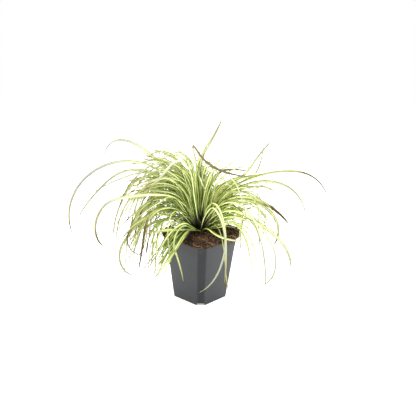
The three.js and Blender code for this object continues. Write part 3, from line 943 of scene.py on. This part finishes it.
class Shader:
    """A material's node tree, written as nested calls."""

    def __init__(self, name):
        self.material = bpy.data.materials.new(name)
        self.material.use_nodes = True
        self.tree = self.material.node_tree
        self.tree.nodes.clear()

    def node(self, kind, *values, **settings):
        made = self.tree.nodes.new(kind)
        for name, value in settings.items():
            if hasattr(made, name):
                setattr(made, name, value)
            else:
                self.feed(made.inputs[name.replace("_", " ")], value)
        for socket, value in zip(made.inputs, values):
            if value is not None:
                self.feed(socket, value)
        return made

    def feed(self, socket, value):
        if isinstance(value, bpy.types.NodeSocket):
            self.tree.links.new(value, socket)
        else:
            socket.default_value = value

    def math(self, operation, *values):
        return self.node("ShaderNodeMath", *values, operation=operation).outputs[0]

    def smooth(self, value, low, high, start=0.0, end=1.0):
        made = self.node(
            "ShaderNodeMapRange", value, low, high, start, end, interpolation_type="SMOOTHSTEP"
        )
        return made.outputs[0]

    def mix(self, share, first, second, blend="MIX"):
        """Mixes two colours, which are the node's sockets 6 and 7 and its output 2."""
        made = self.node("ShaderNodeMix", data_type="RGBA", blend_type=blend)
        self.feed(made.inputs[0], share)
        self.feed(made.inputs[6], first)
        self.feed(made.inputs[7], second)
        return made.outputs[2]

    def ramp(self, value, *stops):
        made = self.node("ShaderNodeValToRGB", value)
        elements = made.color_ramp.elements
        while len(elements) < len(stops):
            elements.new(0.5)
        for element, (place, tint) in zip(elements, stops):
            element.position = place
            element.color = tint
        return made.outputs[0]

    def noise(self, vector, scale, detail=3.0, roughness=0.55):
        made = self.node(
            "ShaderNodeTexNoise", Vector=vector, Scale=scale, Detail=detail, Roughness=roughness
        )
        return made.outputs[0]

    def layer(self, name):
        made = self.node("ShaderNodeAttribute", attribute_name=name)
        parts = self.node("ShaderNodeSeparateXYZ", made.outputs["Vector"])
        return parts.outputs

    def vector(self, x, y, z):
        return self.node("ShaderNodeCombineXYZ", x, y, z).outputs[0]

    def position(self):
        return self.node("ShaderNodeTexCoord").outputs["Object"]

    def bump(self, height, strength, distance_mm):
        made = self.node("ShaderNodeBump", Height=height, Strength=strength)
        made.inputs["Distance"].default_value = distance_mm * MM
        return made.outputs[0]

    def principled(self, body, rough, specular, normal=None):
        made = self.node("ShaderNodeBsdfPrincipled")
        self.feed(made.inputs["Base Color"], body)
        self.feed(made.inputs["Roughness"], rough)
        made.inputs["Specular IOR Level"].default_value = specular
        if normal is not None:
            self.feed(made.inputs["Normal"], normal)
        return made

    def surface(self, shader):
        out = self.node("ShaderNodeOutputMaterial")
        self.tree.links.new(shader, out.inputs["Surface"])
        return self.material


def leaf_material():
    """Cream to lime middle, green margins, fine veins and withering from the tip, with painted
    shade toward the root and painted washed-out light on the far parts.
    """
    s = Shader("sedge_leaf")
    across, along, distance = s.layer("blade")[:3]
    tone, dry, band = s.layer("leaf")[:3]
    edge = s.math("ABSOLUTE", across)
    seed = s.math("MULTIPLY", tone, 97.0)
    streak = s.noise(
        s.vector(s.math("MULTIPLY", across, 3.2), s.math("MULTIPLY", distance, 0.012), seed), 1.6
    )
    vein = s.noise(
        s.vector(s.math("MULTIPLY", across, 9.0), s.math("MULTIPLY", distance, 0.006), seed), 1.4
    )
    patch = s.noise(s.vector(across, s.math("MULTIPLY", distance, 0.09), seed), 1.0)

    # Along the leaf: dark saturated colours near the crown, pale ones far out; partly the leaf's
    # own colour, partly painted shade in the core and painted washed-out light on the outer leaves.
    middle = s.smooth(distance, 60.0, 150.0)
    outer = s.smooth(distance, 140.0, 220.0)
    cream = s.mix(middle, colour(241, 245, 172), colour(221, 224, 187))
    cream = s.mix(outer, cream, colour(173, 177, 160))
    green = s.mix(middle, colour(100, 130, 2), colour(162, 171, 92))
    green = s.mix(outer, green, colour(156, 162, 132))
    wander = s.math("ADD", edge, s.math("MULTIPLY", s.math("SUBTRACT", streak, 0.5), 0.5))
    margin = s.smooth(s.math("SUBTRACT", wander, band), -0.07, 0.09)
    lines = s.smooth(vein, 0.56, 0.7, 0.0, 0.45)
    body = s.mix(s.math("MAXIMUM", margin, lines), cream, green)
    shade = s.math("ADD", 0.84, s.math("MULTIPLY", tone, 0.28))
    body = s.mix(1.0, body, s.vector(shade, shade, s.math("MULTIPLY", shade, shade)), "MULTIPLY")

    start = s.math("SUBTRACT", 1.02, dry)
    ragged = s.math("MULTIPLY", s.math("SUBTRACT", patch, 0.5), 0.16)
    withered = s.math("ADD", s.math("SUBTRACT", along, start), ragged)
    yellowing = s.smooth(withered, -0.2, 0.0, 0.0, 0.6)
    body = s.mix(yellowing, body, colour(178, 170, 104))
    straw = s.ramp(
        s.math("ADD", withered, s.math("MULTIPLY", s.math("SUBTRACT", vein, 0.5), 0.3)),
        (0.0, colour(104, 90, 42)),
        (0.12, colour(106, 92, 52)),
        (0.3, colour(92, 80, 44)),
        (0.7, colour(118, 108, 74)),
    )
    body = s.mix(s.smooth(withered, -0.02, 0.05), body, straw)
    # Darker toward the root: painted shade of the crown, partly the leaf bases' own darker colour.
    dark_base_and_shade = s.smooth(distance, 4.0, 36.0, 0.98, 0.0)
    body = s.mix(dark_base_and_shade, body, colour(24, 28, 2))

    ribs = s.math("SINE", s.math("MULTIPLY", across, 26.0))
    relief = s.math("ADD", s.math("MULTIPLY", ribs, 0.3), vein)
    normal = s.bump(relief, 0.35, 0.12)
    rough = s.smooth(vein, 0.3, 0.7, 0.34, 0.52)
    skin = s.principled(body, rough, 0.5, normal)
    glow = s.node("ShaderNodeBsdfTranslucent", body, normal)
    both = s.node("ShaderNodeMixShader", 0.27, skin.outputs[0], glow.outputs[0])
    return s.surface(both.outputs[0])


def soil_material():
    """Dark moist peat with paler crumbs."""
    s = Shader("peat_and_coir")
    bit = s.layer("bit")[0]
    place = s.position()
    coarse = s.noise(place, 210.0, 5.0)
    fine = s.noise(place, 900.0, 4.0)
    value = s.math("ADD", s.math("MULTIPLY", bit, 0.35), s.math("MULTIPLY", coarse, 0.75))
    body = s.ramp(
        value,
        (0.3, colour(12, 10, 7)),
        (0.5, colour(36, 28, 20)),
        (0.66, colour(64, 49, 34)),
        (0.85, colour(112, 90, 66)),
    )
    body = s.mix(s.smooth(fine, 0.35, 0.75, 0.0, 0.5), body, colour(22, 17, 12))
    relief = s.math("ADD", coarse, s.math("MULTIPLY", fine, 0.5))
    rough = s.smooth(fine, 0.3, 0.7, 0.82, 0.97)
    skin = s.principled(body, rough, 0.25, s.bump(relief, 0.8, 0.6))
    return s.surface(skin.outputs[0])


def fibre_material():
    """Coir threads from dark brown to pale straw."""
    s = Shader("coir")
    bit = s.layer("bit")[0]
    grain = s.noise(s.position(), 700.0, 3.0)
    value = s.math("ADD", bit, s.math("MULTIPLY", s.math("SUBTRACT", grain, 0.5), 0.3))
    body = s.ramp(
        value,
        (0.1, colour(22, 16, 11)),
        (0.45, colour(56, 39, 26)),
        (0.75, colour(100, 68, 40)),
        (0.97, colour(160, 120, 76)),
    )
    rough = s.smooth(grain, 0.3, 0.7, 0.6, 0.85)
    skin = s.principled(body, rough, 0.3, s.bump(grain, 0.4, 0.2))
    return s.surface(skin.outputs[0])


def pot_material():
    """Satin anthracite plastic with drag marks, faint mottling, a little dust, and painted shade on
    the flattened corners.
    """
    s = Shader("pot_plastic")
    place = s.position()
    parts = s.node("ShaderNodeSeparateXYZ", place).outputs
    mottle = s.noise(place, 55.0, 4.0)
    grain = s.noise(place, 1400.0, 3.0)
    drag = s.noise(
        s.vector(
            s.math("MULTIPLY", parts[0], 420.0),
            s.math("MULTIPLY", parts[1], 420.0),
            s.math("MULTIPLY", parts[2], 14.0),
        ),
        1.0,
    )
    # The flattened corners get a darker colour: painted shade.
    reach = s.math("MAXIMUM", s.math("ABSOLUTE", parts[0]), s.math("ABSOLUTE", parts[1]))
    total = s.math("ADD", s.math("ABSOLUTE", parts[0]), s.math("ABSOLUTE", parts[1]))
    past = s.math("SUBTRACT", total, s.math("MULTIPLY", reach, CORNER_START))
    painted_corner_shade = s.smooth(past, 0.0, 0.004)
    body = s.mix(s.smooth(mottle, 0.3, 0.7), colour(34, 35, 37), colour(40, 41, 44))
    body = s.mix(s.smooth(drag, 0.62, 0.75, 0.0, 0.25), body, colour(66, 67, 71))
    body = s.mix(painted_corner_shade, body, colour(20, 21, 23))
    dust = s.math("MULTIPLY", s.smooth(parts[2], 0.088, 0.1), s.smooth(mottle, 0.5, 0.68))
    body = s.mix(s.math("MULTIPLY", dust, 0.35), body, colour(96, 84, 70))
    rough = s.math("ADD", s.smooth(mottle, 0.3, 0.7, 0.34, 0.44), s.math("MULTIPLY", drag, 0.08))
    relief = s.math("ADD", s.math("MULTIPLY", grain, 0.5), drag)
    skin = s.principled(body, rough, 0.3, s.bump(relief, 0.25, 0.08))
    return s.surface(skin.outputs[0])


def floor_material():
    """White card, a little uneven."""
    s = Shader("white_card")
    cloud = s.noise(s.position(), 3.0)
    body = s.mix(s.smooth(cloud, 0.3, 0.7), colour(240, 240, 240), colour(246, 246, 246))
    skin = s.principled(body, 0.95, 0.1)
    skin.inputs["Emission Color"].default_value = (1, 1, 1, 1)
    skin.inputs["Emission Strength"].default_value = FLOOR_GLOW
    return s.surface(skin.outputs[0])


# ---------------------------------------------------------------- stage


def aim(place, target):
    """Rotation of a camera or lamp at place that looks at target."""
    away = Vector(target) - Vector(place)
    return away.to_track_quat("-Z", "Y").to_matrix()


def make_floor():
    bpy.ops.mesh.primitive_plane_add(size=FLOOR_SIZE)
    floor = bpy.context.object
    floor.name = "floor"
    floor.data.materials.append(floor_material())


def make_world(scene):
    """Even white light, weaker from behind the camera, before a white ground."""
    world = bpy.data.worlds.new("studio")
    world.use_nodes = True
    scene.world = world
    tree = world.node_tree
    tree.nodes.clear()
    place = tree.nodes.new("ShaderNodeTexCoord")
    facing = tree.nodes.new("ShaderNodeVectorMath")
    facing.operation = "DOT_PRODUCT"
    facing.inputs[1].default_value = Vector(CAMERA_PLACE).normalized()
    tree.links.new(place.outputs["Generated"], facing.inputs[0])
    glow = tree.nodes.new("ShaderNodeMapRange")
    glow.interpolation_type = "SMOOTHSTEP"
    glow.inputs["From Min"].default_value = 0.35
    glow.inputs["From Max"].default_value = 0.95
    glow.inputs["To Min"].default_value = WORLD_LIGHT
    glow.inputs["To Max"].default_value = WORLD_LIGHT * CAMERA_SIDE_LIGHT
    tree.links.new(facing.outputs["Value"], glow.inputs["Value"])
    path = tree.nodes.new("ShaderNodeLightPath")
    strength = tree.nodes.new("ShaderNodeMapRange")
    tree.links.new(glow.outputs[0], strength.inputs["To Min"])
    strength.inputs["To Max"].default_value = 1.0
    background = tree.nodes.new("ShaderNodeBackground")
    background.inputs["Color"].default_value = (1, 1, 1, 1)
    out = tree.nodes.new("ShaderNodeOutputWorld")
    tree.links.new(path.outputs["Is Camera Ray"], strength.inputs["Value"])
    tree.links.new(strength.outputs[0], background.inputs["Strength"])
    tree.links.new(background.outputs[0], out.inputs["Surface"])


def make_lights(scene):
    for name, place, size, power in LIGHTS:
        data = bpy.data.lights.new(name, "AREA")
        data.size = size
        data.energy = power
        lamp = bpy.data.objects.new(name, data)
        lamp.location = place
        lamp.rotation_euler = aim(place, LIGHT_TARGET).to_euler()
        scene.collection.objects.link(lamp)


def make_camera(scene):
    data = bpy.data.cameras.new("camera")
    data.lens = CAMERA_LENS
    data.sensor_width = 36
    camera = bpy.data.objects.new("camera", data)
    camera.location = CAMERA_PLACE
    turn = aim(CAMERA_PLACE, CAMERA_TARGET) @ Matrix.Rotation(math.radians(CAMERA_ROLL), 3, "Z")
    camera.rotation_euler = turn.to_euler()
    scene.collection.objects.link(camera)
    scene.camera = camera


def make_stage():
    scene = bpy.context.scene
    scene.view_settings.view_transform = "Standard"
    scene.view_settings.look = "None"
    make_floor()
    make_world(scene)
    make_lights(scene)
    make_camera(scene)


# ---------------------------------------------------------------- scene


def main():
    for extra in list(bpy.data.objects):
        bpy.data.objects.remove(extra)
    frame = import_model()
    make_pot(frame["nodes"]["pot"], pot_material())
    make_soil(soil_material(), fibre_material())
    make_shoots(leaf_material())
    make_stage()


main()
